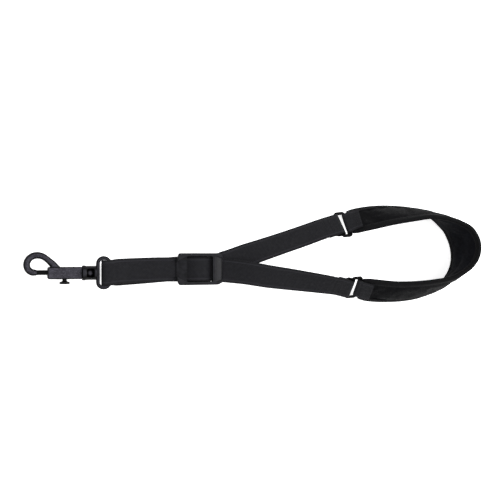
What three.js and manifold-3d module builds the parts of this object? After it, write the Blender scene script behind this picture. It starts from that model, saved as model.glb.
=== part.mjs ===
// Saxophone neck strap, lying open on a table. Millimetres, +Z up, floor at z = 0.
// +X runs from the swivel hook to the far end of the neck pad, +Y to the upper branch.

import * as THREE from 'three';
import { mergeVertices } from 'three/addons/utils/BufferGeometryUtils.js';
import Module from 'manifold-3d';

const wasm = await Module();
wasm.setup();

// ---------------------------------------------------------------- driving dimensions

const webWidth = 25;              // strap webbing
const webThick = 1.3;
const layerGap = 0.3;             // air left between two pieces that touch

// Stations of a band: x, y, z of its middle, roll of its width in degrees, width, thickness.
// Roll 0 is flat; the inner edge of the neck loop rises as it grows.
const padStations = [
  [104.7, 34.2, 10.7, 33.5, 29, 3.8],
  [109.5, 35.4, 11.3, 36, 31, 4.4],
  [118, 37.4, 13.5, 42, 33, 5.2],
  [143, 41.8, 17.0, 55.5, 37, 5.6],
  [169, 44, 19.4, 66.8, 39.5, 5.6],
  [190, 44.1, 21.9, 77, 43, 5.6],
  [208, 40.3, 23.9, 83, 47, 5.6],
  [222, 33, 25.8, 89.5, 51, 5.6],
  [232.9, 24.2, 27.3, 93.5, 54, 5.6],
  [239.9, 10.2, 28.0, 93, 55.5, 5.6],
  [239.7, -4.5, 27.9, 88.5, 55, 5.6],
  [231.8, -20.1, 26.5, 80, 52.5, 5.6],
  [215, -33.3, 25.0, 71, 50.5, 5.6],
  [194, -39.5, 22.5, 64.5, 47, 5.6],
  [173.5, -42.2, 19.6, 59, 42, 5.6],
  [153, -42.7, 17.0, 54, 37.5, 5.6],
  [134, -41.4, 14.9, 48.5, 35, 5.4],
  [123, -40.0, 13.8, 44.5, 32.6, 4.6],
  [116.4, -38.9, 13.2, 43.5, 29.5, 3.8],
];
const branchUpperStations = [
  [-40.5, -10.8, 2.05, 0],
  [-28, -6.9, 2.6, 5],
  [-14, -1.8, 4.5, 16],
  [0, 2.9, 6.2, 24],
  [20, 9.4, 7.8, 29],
  [48, 18.6, 9.6, 31],
  [74, 27.6, 11.8, 33],
];
const branchLowerStations = [
  [-40.3, -17.5, 3.85, 0],
  [-30, -18.6, 6.0, 4],
  [-18, -20, 8.4, 9],
  [-6, -21.9, 10.0, 12],
  [8, -24.3, 10.5, 15],
  [30, -27.3, 10.3, 22],
  [52, -30.4, 10.7, 30],
  [72, -33.3, 12.4, 36.5],
  [88.6, -36.1, 14.5, 42.5],
];

// Slider: a flat three-bar frame that both strands run through.
const sliderX = -66.4;
const sliderY = -16;
const sliderLength = 50;
const sliderWidth = 33;
const sliderCorner = 4;
const sliderSoft = 0.8;           // rounding of the frame's edges
const sliderTop = 8.2;
const sliderBarUnder = 4.85;      // underside of the two end bars
const sliderWindow = 28;
const windowCorner = 1.2;
const sliderInside = 26.3;        // between the side rails
const sliderLegs = [-22, 9.5];    // the side rails reach the table from here to here
const sliderRamp = 12;            // slope of the bar on the hook's side, degrees
const centreBarWidth = 8;
const centreBarTop = 3.2;

// The two strands, one on the other. In the slider they climb over its centre bar.
const strandBack = 2.05;          // height of the back strand under the end bars
const strandFront = 3.85;
const strandLift = 2.35;
const strandClimb = [             // along the slider from its middle, share of the lift
  [-25.3, 0], [-14, 0], [-9, 0.42], [-4.2, 0.9], [0, 1], [4.2, 0.9], [9, 0.42], [13.5, 0],
  [25.3, 0],
];
const strandBackY = [-15.7, -15.7, -15.7, -15.7, -15.7, -15.7, -15.6, -15, -11.1];
const strandFrontY = [-16.2, -16.2, -16.2, -16.2, -16.2, -16.2, -16.2, -16.3, -17.4];

// Hook side: the front strand runs out to the hook, turns round its bar and comes back.
const strandEndX = -92;
const strandEndY = { front: -16.4, back: -15.7 };
const turnFront = [[-112, 4.9], [-130, 6.2], [-143, 8], [-153, 10.6], [-160, 12.2]];
const turnBack = [[-160, 6.1], [-153, 5.9], [-143, 5.4], [-130, 4.5], [-112, 3.25]];
const turnX = -164.7;
const turnZ = 9.2;
const turnRadius = 3.25;
const turnSteps = 10;

// Swivel hook, in its own frame: x along its axis, the barrel's middle at 0.
const hookOrigin = [-180, -18.9, 8];
const hookTilt = 4.2;             // degrees, barrel and hook tip both touch the table
const turnY = hookOrigin[1];
// The strands fan out between slider and hook: x, front one sideways, back one sideways.
const strandFan = [[-164.7, 0, 0], [-158.6, 0.2, -0.2], [-154, 0.9, -1.2], [-140, 1, -1.1],
  [-120, 0.95, -0.8], [-105, 0.8, -0.3], [strandEndX, 0.2, 0]];
const barrelRadius = 6.9;
const barrelFront = -7.4;
const barrelBack = 7;
const rimRadius = 7.45;
const rimLength = 3.4;
const neckRadius = 2.6;
const neckHole = 3;
const ballRadius = 4.2;
const chamberRadius = 4.9;
const chamberFront = barrelFront + 2.5;
const chamberBack = 4.2;
const windowLength = 7;
const windowWidth = 8.4;
const loopFront = 6.3;
const loopBack = 21.2;
const loopWidth = 33.4;
const loopThick = 4.4;
const loopCorner = 7.4;
const loopSoft = 1;
const loopInside = 25.6;
const loopFrontBar = 3.5;
const strapBarRadius = 2.2;
const strapBarX = loopBack - strapBarRadius;

const bodyFront = -40.8;
const bodyBack = -7.7;
const bodyWidth = 12;
const bodyThick = 9;
const bodyCorner = 2.4;
const bodySoft = 1.2;
const eyeThick = 6.6;
const eyeBand = 6.6;
const eyeSoft = 1.6;
// Middle line of the eye, from its tip round to where it runs into the body.
const eyeLine = [[-51.6, 0.6], [-55.6, 1.0], [-59, 3.6], [-60.4, 8.5], [-58.8, 13.2],
  [-55.2, 16.4], [-50.6, 17.5], [-45.4, 16.4], [-40.3, 12.8], [-35.7, 8.4], [-31.6, 3.2]];
const eyeSteps = 40;
const boltRadius = 2.4;
const boltY = 0.6;
const boltFront = -55.3;
const boltBack = -21.8;
const boltBore = 2.7;
const boreEnd = -9.8;
const boltTravel = 8;
const knobX = -24.3;
const knobStem = 1.2;             // pressed into the bolt
const knobStemHole = 1.5;
const knobNeck = 2;
const knobBase = 5;
const knobLow = -10.8;
const knobFlare = [[knobNeck, -7.4], [2.9, -8], [knobBase, -9], [knobBase, -10.3],
  [knobBase - 0.5, knobLow]];     // radius, height
const springRadius = 1.95;
const springWire = 0.45;
const springTurns = 6;

// Rectangular rings between the branches and the pad.
const ringInside = 25.8;
const ringGap = 8.2;
const ringBar = 2.4;              // the two bars that the strap goes round
const ringSideBar = 3.4;
const ringBarThick = 2.1;
const ringCorner = 2.4;
const ringSoft = 0.6;
const ringHoleCorner = 0.8;
// skew turns each fold of strap against its bar; slack is how far a fold hangs back from it.
const rings = {
  upper: { centre: [96.1, 31.6, 10.6], heading: 6.8, roll: 33, skew: 3.4, slack: 0 },
  lower: { centre: [107.7, -37.3, 13.2], heading: 184, roll: 43, skew: 1.6, slack: 0.3 },
};
const ringBarOffset = (ringGap + ringBar) / 2;
const foldOffset = 2.8;           // strap middle to ring plane, over and under a bar
const foldSteps = 8;
// The sewn flap under a branch: distance back from the bar, depth below the branch.
const flapDepth = [[3, 2 * foldOffset], [5.5, 4.5], [8, 2.6], [10.5, webThick + layerGap],
  [19.5, webThick + layerGap]];
const tabOuter = 12;
const tabInner = 12;
const branchSkewReach = 18;       // the strap turns towards its fold over this length
const padSkewReach = 35;

// Neck pad layers, from the outer face inwards.
const coverThick = 0.7;
const liningThick = 0.7;
const bindingThick = 0.55;
const bindingWide = 6;
const layerAir = 0.28;
const padSteps = 5;               // sections between two stations
const branchSteps = 5;
const strandSteps = 3;
const cutMargin = 1;              // a cutting shape runs this far past what it cuts

// ---------------------------------------------------------------- materials

function finish(colour, roughness, metalness = 0) {
  return new THREE.MeshStandardMaterial({ color: colour, roughness, metalness });
}
const webbing = () => finish(0x26262a, 0.8);
const hookPlastic = () => finish(0x46454b, 0.5);
const blackPlastic = () => finish(0x2a2a2e, 0.4);

// ---------------------------------------------------------------- bands

// Centripetal Catmull-Rom through rows of numbers, spaced by the distance of their first three.
function smooth(rows, steps) {
  const last = rows.length - 1;
  const mix = (a, b, f) => a.map((v, i) => v + (b[i] - v) * f);
  const gap = (a, b) => Math.sqrt(Math.hypot(a[0] - b[0], a[1] - b[1], a[2] - b[2]));
  const out = [];
  for (let i = 0; i < last; i++) {
    const p1 = rows[i];
    const p2 = rows[i + 1];
    const p0 = i > 0 ? rows[i - 1] : mix(p2, p1, 2);
    const p3 = i + 2 <= last ? rows[i + 2] : mix(p1, p2, 2);
    const [d0, d1, d2] = [gap(p0, p1), gap(p1, p2), gap(p2, p3)];
    const slope = (a, b, c, da, db) => b.map((v, k) =>
      (v - a[k]) / da - (c[k] - a[k]) / (da + db) + (c[k] - v) / db);
    const m1 = slope(p0, p1, p2, d0, d1).map((v) => v * d1);
    const m2 = slope(p1, p2, p3, d1, d2).map((v) => v * d1);
    for (let k = 0; k < steps; k++) {
      const t = k / steps;
      const [a, b] = [2 * t ** 3 - 3 * t ** 2 + 1, t ** 3 - 2 * t ** 2 + t];
      const [c, d] = [-2 * t ** 3 + 3 * t ** 2, t ** 3 - t ** 2];
      out.push(p1.map((v, j) => a * v + b * m1[j] + c * p2[j] + d * m2[j]));
    }
  }
  out.push(rows[last]);
  return out;
}

// Frame of a band: place, along its length, across its width (towards the loop), face normal.
function frameAt(place, along, roll) {
  const inward = new THREE.Vector3().crossVectors(along, new THREE.Vector3(0, 0, 1)).normalize();
  const up = new THREE.Vector3().crossVectors(inward, along).normalize();
  const turn = THREE.MathUtils.degToRad(roll);
  const across = inward.clone().multiplyScalar(Math.cos(turn)).addScaledVector(up, Math.sin(turn));
  const normal = up.multiplyScalar(Math.cos(turn)).addScaledVector(inward, -Math.sin(turn));
  return { place, along, across, normal };
}

function bandFrames(stations, steps) {
  const rows = smooth(stations, steps);
  const points = rows.map((r) => new THREE.Vector3(r[0], r[1], r[2]));
  return rows.map((row, i) => {
    const ahead = points[Math.min(i + 1, points.length - 1)];
    const behind = points[Math.max(i - 1, 0)];
    const along = ahead.clone().sub(behind).normalize();
    return { ...frameAt(points[i], along, row[3]), width: row[4], thick: row[5] };
  });
}

// A closed solid through one section per frame; section(frame) lists [across, normal] pairs.
function loft(frames, section) {
  const vertices = [];
  const faces = [];
  const flat = section(frames[0]).map(([x, y]) => new THREE.Vector2(x, y));
  const sides = flat.length;
  for (const frame of frames) {
    for (const [across, out] of section(frame)) {
      vertices.push(frame.place.clone()
        .addScaledVector(frame.across, across).addScaledVector(frame.normal, out));
    }
  }
  for (let i = 0; i + 1 < frames.length; i++) {
    for (let j = 0; j < sides; j++) {
      const a = i * sides + j;
      const next = (j + 1) % sides;
      const b = i * sides + next;
      // Both faces of a twisted band are split the same way, so that layers stay parallel.
      if (flat[j].x <= flat[next].x) faces.push([a, b, b + sides], [a, b + sides, a + sides]);
      else faces.push([a, b, a + sides], [b, b + sides, a + sides]);
    }
  }
  const clockwise = THREE.ShapeUtils.isClockWise(flat);
  const cap = THREE.ShapeUtils.triangulateShape(flat, [])
    .map(([a, b, c]) => (clockwise ? [a, c, b] : [a, b, c]));
  const start = (frames.length - 1) * sides;
  for (const [a, b, c] of cap) faces.push([c, b, a], [a + start, b + start, c + start]);
  return orient(vertices, faces);
}

// Triangles with their faces pointing out.
function orient(vertices, faces) {
  let volume = 0;
  for (const [a, b, c] of faces) {
    volume += vertices[a].dot(new THREE.Vector3().crossVectors(vertices[b], vertices[c]));
  }
  const ordered = volume < 0 ? faces.map(([a, b, c]) => [a, c, b]) : faces;
  const geometry = new THREE.BufferGeometry();
  geometry.setAttribute('position',
    new THREE.Float32BufferAttribute(vertices.flatMap((v) => v.toArray()), 3));
  geometry.setIndex(ordered.flat());
  geometry.computeVertexNormals();
  return geometry;
}

function slab(width, thick, middle = 0) {
  const [w, h] = [width / 2, thick / 2];
  return [[-w, middle - h], [w, middle - h], [w, middle + h], [-w, middle + h]];
}
const strapSection = () => slab(webWidth, webThick);

// ---------------------------------------------------------------- booleans

function solid(geometry) {
  const bare = geometry.clone();
  bare.deleteAttribute('normal');
  bare.deleteAttribute('uv');
  const merged = mergeVertices(bare.index ? bare : mergeVertices(bare), 1e-4);
  return new wasm.Manifold(new wasm.Mesh({
    numProp: 3,
    vertProperties: new Float32Array(merged.attributes.position.array),
    triVerts: new Uint32Array(merged.index.array),
  }));
}

function geometryOf(body) {
  const mesh = body.getMesh();
  const geometry = new THREE.BufferGeometry();
  geometry.setAttribute('position', new THREE.BufferAttribute(mesh.vertProperties, 3));
  geometry.setIndex(new THREE.BufferAttribute(mesh.triVerts, 1));
  geometry.computeVertexNormals();
  return geometry;
}

function block(x0, x1, y0, y1, z0, z1) {
  const box = new THREE.BoxGeometry(x1 - x0, y1 - y0, z1 - z0);
  return box.translate((x0 + x1) / 2, (y0 + y1) / 2, (z0 + z1) / 2);
}

function rodX(radius, x0, x1, y = 0, sides = 32) {
  const rod = new THREE.CylinderGeometry(radius, radius, x1 - x0, sides);
  return rod.rotateZ(Math.PI / 2).translate((x0 + x1) / 2, y, 0);
}

// A flat outline, rounded at its corners, extruded about z = 0 with softened edges. A negative
// soft flares the edges instead, for a hole that leaves soft edges behind.
function roundedPlate(x0, x1, y0, y1, corner, thick, soft) {
  const shape = new THREE.Shape();
  const [a, b, c, d] = [x0 + soft, x1 - soft, y0 + soft, y1 - soft];
  const r = corner - soft;
  shape.moveTo(a + r, c);
  shape.lineTo(b - r, c);
  shape.absarc(b - r, c + r, r, -Math.PI / 2, 0);
  shape.lineTo(b, d - r);
  shape.absarc(b - r, d - r, r, 0, Math.PI / 2);
  shape.lineTo(a + r, d);
  shape.absarc(a + r, d - r, r, Math.PI / 2, Math.PI);
  shape.lineTo(a, c + r);
  shape.absarc(a + r, c + r, r, Math.PI, Math.PI * 1.5);
  return plate(shape, thick, soft);
}

function plate(shape, thick, soft) {
  const bevel = Math.abs(soft);
  const depth = thick - 2 * bevel;
  return new THREE.ExtrudeGeometry(shape, {
    depth, bevelEnabled: bevel > 0, bevelThickness: bevel, bevelSize: soft, bevelSegments: 2,
    curveSegments: 5,
  }).translate(0, 0, -depth / 2);
}

// ---------------------------------------------------------------- assembly helpers

const strap = new THREE.Group();

function add(name, geometry, material, parent = strap) {
  const mesh = new THREE.Mesh(geometry, material);
  mesh.name = name;
  parent.add(mesh);
  return mesh;
}

function ringFrame({ centre, heading, roll }) {
  const turn = THREE.MathUtils.degToRad(heading);
  const along = new THREE.Vector3(Math.cos(turn), Math.sin(turn), 0);
  return frameAt(new THREE.Vector3(...centre), along, roll);
}

// Frames along a list of places, each with its own direction across the strap.
function ribbon(places, acrosses) {
  return places.map((place, i) => {
    const along = places[Math.min(i + 1, places.length - 1)].clone()
      .sub(places[Math.max(i - 1, 0)]).normalize();
    const across = acrosses[i];
    return { place, along, across, normal: along.clone().cross(across).negate().normalize() };
  });
}

// Places of [along, normal] pairs in a ring's frame.
function inFrame(frame, points) {
  return points.map(([along, normal]) => frame.place.clone()
    .addScaledVector(frame.along, along).addScaledVector(frame.normal, normal));
}

// Half a turn round one of a ring's bars, from above it to below it, on the slot's side.
// barSide is the bar's side of the ring, along its frame.
function fold(ring, barSide) {
  const frame = ringFrame(ring);
  const points = [];
  for (let i = 0; i <= foldSteps; i++) {
    const angle = Math.PI * i / foldSteps;
    const back = ringBarOffset + ring.slack - foldOffset * Math.sin(angle);
    points.push([barSide * back, foldOffset * Math.cos(angle)]);
  }
  const turn = -barSide * THREE.MathUtils.degToRad(ring.skew);
  return {
    places: inFrame(frame, points),
    across: frame.across.applyAxisAngle(frame.normal, turn),
  };
}

// Frames whose width turns in the strap's own plane, near its end, until it lies along a fold.
function skewed(frames, across, reach) {
  const last = frames.at(-1);
  const turn = Math.atan2(across.dot(last.along), across.dot(last.across));
  let away = 0;
  const out = [];
  for (let i = frames.length - 1; i >= 0; i--) {
    if (out.length > 0) away += frames[i].place.distanceTo(frames[i + 1].place);
    const share = THREE.MathUtils.smoothstep(reach - away, 0, reach);
    const turned = frames[i].across.clone().applyAxisAngle(frames[i].normal, turn * share);
    out.unshift({ ...frames[i], across: turned });
  }
  return out;
}

// ---------------------------------------------------------------- webbing

// Value at x of a line through [x, value] pairs.
function along(pairs, x) {
  const i = Math.min(pairs.length - 1, Math.max(1, pairs.findIndex(([at]) => at >= x)));
  const [[x0, y0], [x1, y1]] = [pairs[i - 1], pairs[i]];
  return y0 + (y1 - y0) * (x - x0) / (x1 - x0);
}

// A strand, its turn round a ring's bar and the sewn flap that lies under it.
function branch(stations, ring, barSide) {
  const turn = fold(ring, barSide);
  const rows = [...stations, [...turn.places[0].toArray(), ring.roll]];
  const straight = barSide < 0 ? bandFrames(rows, branchSteps)
    : bandFrames(rows.reverse(), branchSteps).reverse();
  const strand = skewed(straight, turn.across, branchSkewReach);
  const flap = [];
  let back = 0;
  for (let i = strand.length - 2; i >= 0; i--) {
    const { place, across, normal } = strand[i];
    back += place.distanceTo(strand[i + 1].place);
    if (back > flapDepth.at(-1)[0]) break;
    if (back < flapDepth[0][0]) continue;
    flap.push({ place: place.clone().addScaledVector(normal, -along(flapDepth, back)), across });
  }
  const path = [
    ...strand.slice(0, -1),
    ...turn.places.map((place) => ({ place, across: turn.across })),
    ...flap,
  ];
  return loft(ribbon(path.map((p) => p.place), path.map((p) => p.across)), strapSection);
}

function strandThroughSlider(height, sideways) {
  const rows = strandClimb.map(([x, up], i) =>
    [sliderX + x, sideways[i], height + up * strandLift, 0]);
  return loft(bandFrames(rows, strandSteps), strapSection);
}

function hookTurn() {
  const turn = [];
  for (let i = 0; i <= turnSteps; i++) {
    const angle = Math.PI * (0.5 + i / turnSteps);
    turn.push([turnX + turnRadius * Math.cos(angle), turnZ + turnRadius * Math.sin(angle)]);
  }
  const path = [[strandEndX, strandFront], ...turnFront, ...turn, ...turnBack,
    [strandEndX, strandBack]];
  const places = path.map(([x, z], i) => {
    const share = Math.min(1, (x - strandEndX) / (turnX - strandEndX));
    const [y, column] = i < path.length / 2 ? [strandEndY.front, 1] : [strandEndY.back, 2];
    const fan = x < turnX ? 0 : along(strandFan.map((row) => [row[0], row[column]]), x);
    return [x, y + (turnY - y) * share + fan, z];
  });
  const points = smooth(places, 2).map((p) => new THREE.Vector3(...p));
  const across = new THREE.Vector3(0, 1, 0);
  return loft(ribbon(points, points.map(() => across)), strapSection);
}

add('webbing_hook_turn', hookTurn(), webbing());
add('webbing_slider_back', strandThroughSlider(strandBack, strandBackY), webbing());
add('webbing_slider_front', strandThroughSlider(strandFront, strandFrontY), webbing());
add('webbing_branch_upper', branch(branchUpperStations, rings.upper, -1), webbing());
add('webbing_branch_lower', branch(branchLowerStations, rings.lower, 1), webbing());

// ---------------------------------------------------------------- rings and tabs

function ringSolid(ring) {
  const outerLong = ringInside + 2 * ringSideBar;
  const outerShort = ringGap + 2 * ringBar;
  const outer = solid(roundedPlate(-outerShort / 2, outerShort / 2, -outerLong / 2, outerLong / 2,
    ringCorner, ringBarThick, ringSoft));
  const hole = solid(roundedPlate(-ringGap / 2, ringGap / 2, -ringInside / 2, ringInside / 2,
    ringHoleCorner, ringBarThick, -ringSoft));
  const frame = ringFrame(ring);
  const place = new THREE.Matrix4().makeBasis(frame.along, frame.across.clone().negate(),
    frame.normal).setPosition(frame.place);
  return geometryOf(outer.subtract(hole)).applyMatrix4(place);
}

// The tab lies on the pad's outer face, goes round the ring's bar and ends on its inner face.
function tab(ring, barSide, pad) {
  const legs = { outer: [], inner: [] };
  let length = 0;
  for (let i = 0; i < pad.length && length < tabOuter; i++) {
    if (i > 0) length += pad[i].place.distanceTo(pad[i - 1].place);
    const away = pad[i].thick / 2 + layerGap + webThick / 2;
    const at = (side) => ({
      place: pad[i].place.clone().addScaledVector(pad[i].normal, side * away),
      across: pad[i].across,
    });
    legs.outer.unshift(at(1));
    if (length < tabInner) legs.inner.push(at(-1));
  }
  const turn = fold(ring, barSide);
  const path = [
    ...legs.outer,
    ...turn.places.map((place) => ({ place, across: turn.across })),
    ...legs.inner,
  ];
  return loft(ribbon(path.map((p) => p.place), path.map((p) => p.across)), strapSection);
}

// Both ends of the pad lie along the folds of their tabs.
const towardsLower = skewed(bandFrames(padStations, padSteps), fold(rings.lower, -1).across,
  padSkewReach);
const padFrames = skewed(towardsLower.reverse(), fold(rings.upper, 1).across, padSkewReach)
  .reverse();
add('ring_upper', ringSolid(rings.upper), blackPlastic());
add('ring_lower', ringSolid(rings.lower), blackPlastic());
add('pad_tab_upper', tab(rings.upper, 1, padFrames), webbing());
add('pad_tab_lower', tab(rings.lower, -1, [...padFrames].reverse()), webbing());

// ---------------------------------------------------------------- pad layers

// Half the thickness of the layers between the two leaves of a binding.
const stackHalf = (frame) => frame.thick / 2 - bindingThick - layerAir;

function binding(side) {
  return loft(padFrames, ({ width, thick }) => {
    const [edge, lip] = [width / 2, width / 2 - bindingWide];
    const [back, half] = [width / 2 - bindingThick, thick / 2];
    const leaf = half - bindingThick;
    return [[edge, -half], [lip, -half], [lip, -leaf], [back, -leaf], [back, leaf], [lip, leaf],
      [lip, half], [edge, half]].map(([across, n]) => [side * across, n]);
  });
}

function padCover() {
  return loft(padFrames, (f) => slab(f.width - 2 * (bindingThick + layerAir), coverThick,
    stackHalf(f) - coverThick / 2));
}

function padLining() {
  return loft(padFrames, (f) => slab(f.width - 2 * (bindingThick + layerAir), liningThick,
    liningThick / 2 - stackHalf(f)));
}

// The foam stops short of both ends, where the layers come together.
function padFoam() {
  const inner = padFrames.slice(2 * padSteps, -2 * padSteps);
  const middle = (coverThick - liningThick) / -2;
  return loft(inner, (f) => slab(f.width - 2 * (bindingThick + 3 * layerAir),
    2 * (stackHalf(f) - layerAir) - coverThick - liningThick, middle));
}

add('pad_cover', padCover(), finish(0x1c1c1e, 0.7));
add('pad_foam', padFoam(), finish(0x3a3a3c, 0.95));
add('pad_lining', padLining(), finish(0x131418, 0.95));
add('pad_binding_bottom', binding(-1), webbing());
add('pad_binding_top', binding(1), webbing());

// ---------------------------------------------------------------- slider

function sliderFrame() {
  const half = { x: sliderLength / 2, y: sliderWidth / 2, window: sliderWindow / 2 };
  const inside = sliderInside / 2;
  const thick = sliderTop - sliderBarUnder;
  const middle = (sliderTop + sliderBarUnder) / 2;
  const top = roundedPlate(-half.x, half.x, -half.y, half.y, sliderCorner, thick, sliderSoft)
    .translate(0, 0, middle);
  const window = roundedPlate(-half.window, half.window, -inside, inside, windowCorner,
    thick + 2 * cutMargin, 0).translate(0, 0, middle);
  const ramp = block(-half.x, 0, -half.y - cutMargin, half.y + cutMargin, 0, sliderTop)
    .rotateY(-THREE.MathUtils.degToRad(sliderRamp))
    .translate(-half.window - cutMargin, 0, sliderTop);
  let body = solid(top).subtract(solid(window)).subtract(solid(ramp));
  for (const side of [-1, 1]) {
    const [y0, y1] = [side * inside, side * half.y].sort((a, b) => a - b);
    body = body.add(solid(block(...sliderLegs, y0, y1, 0, middle)));
  }
  const bar = block(-centreBarWidth / 2, centreBarWidth / 2, -inside - cutMargin,
    inside + cutMargin, 0, centreBarTop);
  return geometryOf(body.add(solid(bar))).translate(sliderX, sliderY, 0);
}

add('slider_frame', sliderFrame(), blackPlastic());

// ---------------------------------------------------------------- hook, in its own frame

const hook = new THREE.Group();
hook.position.set(...hookOrigin);
hook.rotation.y = THREE.MathUtils.degToRad(-hookTilt);
strap.add(hook);

function strapLoop() {
  const outer = solid(roundedPlate(loopFront, loopBack, -loopWidth / 2, loopWidth / 2, loopCorner,
    loopThick, loopSoft));
  const slot = solid(block(loopFront + loopFrontBar, loopBack + cutMargin, -loopInside / 2,
    loopInside / 2, -loopThick, loopThick));
  const bar = solid(new THREE.CylinderGeometry(strapBarRadius, strapBarRadius,
    loopInside + cutMargin, 32).translate(strapBarX, 0, 0));
  const barrel = solid(rodX(barrelRadius, barrelFront, barrelBack))
    .add(solid(rodX(rimRadius, barrelFront, barrelFront + rimLength)))
    .subtract(solid(rodX(neckHole, barrelFront - cutMargin, 0)))
    .subtract(solid(rodX(chamberRadius, chamberFront, chamberBack)))
    .subtract(solid(block(-windowLength / 2, windowLength / 2, -windowWidth / 2,
      windowWidth / 2, -barrelRadius - cutMargin, barrelRadius + cutMargin)));
  return geometryOf(outer.subtract(slot).add(bar).add(barrel));
}

function eye() {
  const line = new THREE.CatmullRomCurve3(eyeLine.map(([x, y]) => new THREE.Vector3(x, y, 0)));
  const sides = { left: [], right: [] };
  const half = eyeBand / 2 - eyeSoft;
  for (let i = 0; i <= eyeSteps; i++) {
    const p = line.getPoint(i / eyeSteps);
    const t = line.getTangent(i / eyeSteps);
    sides.left.push(new THREE.Vector2(p.x - t.y * half, p.y + t.x * half));
    sides.right.unshift(new THREE.Vector2(p.x + t.y * half, p.y - t.x * half));
  }
  return plate(new THREE.Shape([...sides.left, ...sides.right]), eyeThick, eyeSoft);
}

function hookBody() {
  const housing = solid(roundedPlate(bodyFront, bodyBack, -bodyWidth / 2, bodyWidth / 2,
    bodyCorner, bodyThick, bodySoft));
  const stem = solid(rodX(neckRadius, bodyBack - cutMargin, 0))
    .add(solid(new THREE.SphereGeometry(ballRadius, 24, 16)));
  const bore = solid(rodX(boltBore, boltFront - layerGap, boreEnd, boltY));
  const slotHalf = knobNeck + layerGap;
  const slot = solid(block(knobX - slotHalf, knobX + boltTravel + slotHalf, -bodyWidth, boltY,
    -slotHalf, slotHalf));
  return geometryOf(housing.add(stem).add(solid(eye())).subtract(bore).subtract(slot));
}

function gateBolt() {
  const rod = solid(rodX(boltRadius, boltFront, boltBack, boltY, 24));
  const hole = solid(new THREE.CylinderGeometry(knobStemHole, knobStemHole, 2 * boltRadius, 20)
    .translate(knobX, boltY - 1, 0));
  return geometryOf(rod.subtract(hole));
}

function thumbKnob() {
  const under = boltY - boltRadius - layerGap;
  const top = boltY + boltRadius / 3;
  const profile = [[0, top], [knobStem, top], [knobStem, under], [knobNeck, under], ...knobFlare,
    [0, knobLow]];
  const points = profile.map(([r, y]) => new THREE.Vector2(r, y)).reverse();
  return new THREE.LatheGeometry(points, 28).translate(knobX, 0, 0);
}

class Helix extends THREE.Curve {
  getPoint(t) {
    const turn = 2 * Math.PI * springTurns * t;
    const start = boltBack + layerGap + springWire / 2;
    const end = boreEnd - layerGap - springWire / 2;
    return new THREE.Vector3(start + (end - start) * t,
      boltY + springRadius * Math.cos(turn), springRadius * Math.sin(turn));
  }
}

function gateSpring() {
  const section = new THREE.Shape().absarc(0, 0, springWire / 2, 0, 2 * Math.PI);
  return new THREE.ExtrudeGeometry(section, {
    steps: springTurns * 10, extrudePath: new Helix(), curveSegments: 3,
  });
}

add('strap_loop', strapLoop(), hookPlastic(), hook);
add('hook_body', hookBody(), hookPlastic(), hook);
add('gate_bolt', gateBolt(), blackPlastic(), hook);
add('thumb_knob', thumbKnob(), blackPlastic(), hook);
add('gate_spring', gateSpring(), finish(0xb8bcc2, 0.3, 1), hook);

export default strap;
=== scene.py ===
"""Looks of the saxophone neck strap: webbing, neck pad, slider, rings and swivel hook.

Sizes are in millimetres, and a mesh is turned into metres when it becomes a piece.
+X runs from the hook to the far end of the neck pad, +Y to the upper branch, and the
table is z = 0. The shapes follow the CAD part's own driving dimensions.
"""

import math
from typing import NamedTuple

import bmesh
import bpy
import numpy as np
from mathutils import Matrix, Vector


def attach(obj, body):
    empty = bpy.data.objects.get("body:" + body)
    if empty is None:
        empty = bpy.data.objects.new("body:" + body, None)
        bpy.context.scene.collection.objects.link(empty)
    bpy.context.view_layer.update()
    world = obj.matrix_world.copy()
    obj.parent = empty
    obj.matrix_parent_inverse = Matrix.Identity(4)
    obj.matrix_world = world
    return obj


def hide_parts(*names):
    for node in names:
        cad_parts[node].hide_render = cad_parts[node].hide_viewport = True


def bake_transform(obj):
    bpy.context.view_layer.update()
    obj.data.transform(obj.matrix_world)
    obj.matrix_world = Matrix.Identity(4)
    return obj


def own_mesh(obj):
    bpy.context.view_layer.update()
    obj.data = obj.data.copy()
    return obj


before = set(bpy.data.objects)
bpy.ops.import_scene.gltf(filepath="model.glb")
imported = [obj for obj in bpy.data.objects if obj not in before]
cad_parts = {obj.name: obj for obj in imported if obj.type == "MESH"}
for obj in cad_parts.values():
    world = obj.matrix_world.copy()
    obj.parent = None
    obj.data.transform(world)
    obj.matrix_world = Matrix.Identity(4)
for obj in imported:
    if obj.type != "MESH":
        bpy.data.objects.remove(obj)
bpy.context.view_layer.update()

MM = 0.001
UP = np.array([0.0, 0.0, 1.0])

# ---------------------------------------------------------------- driving dimensions

WEB_WIDTH = 25.0
WEB_THICK = 1.3
LAYER_GAP = 0.3
SELVEDGE = 2.75                     # from the webbing's edge to the line beside its selvedge
SELVEDGE_DEEP = 0.14

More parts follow.
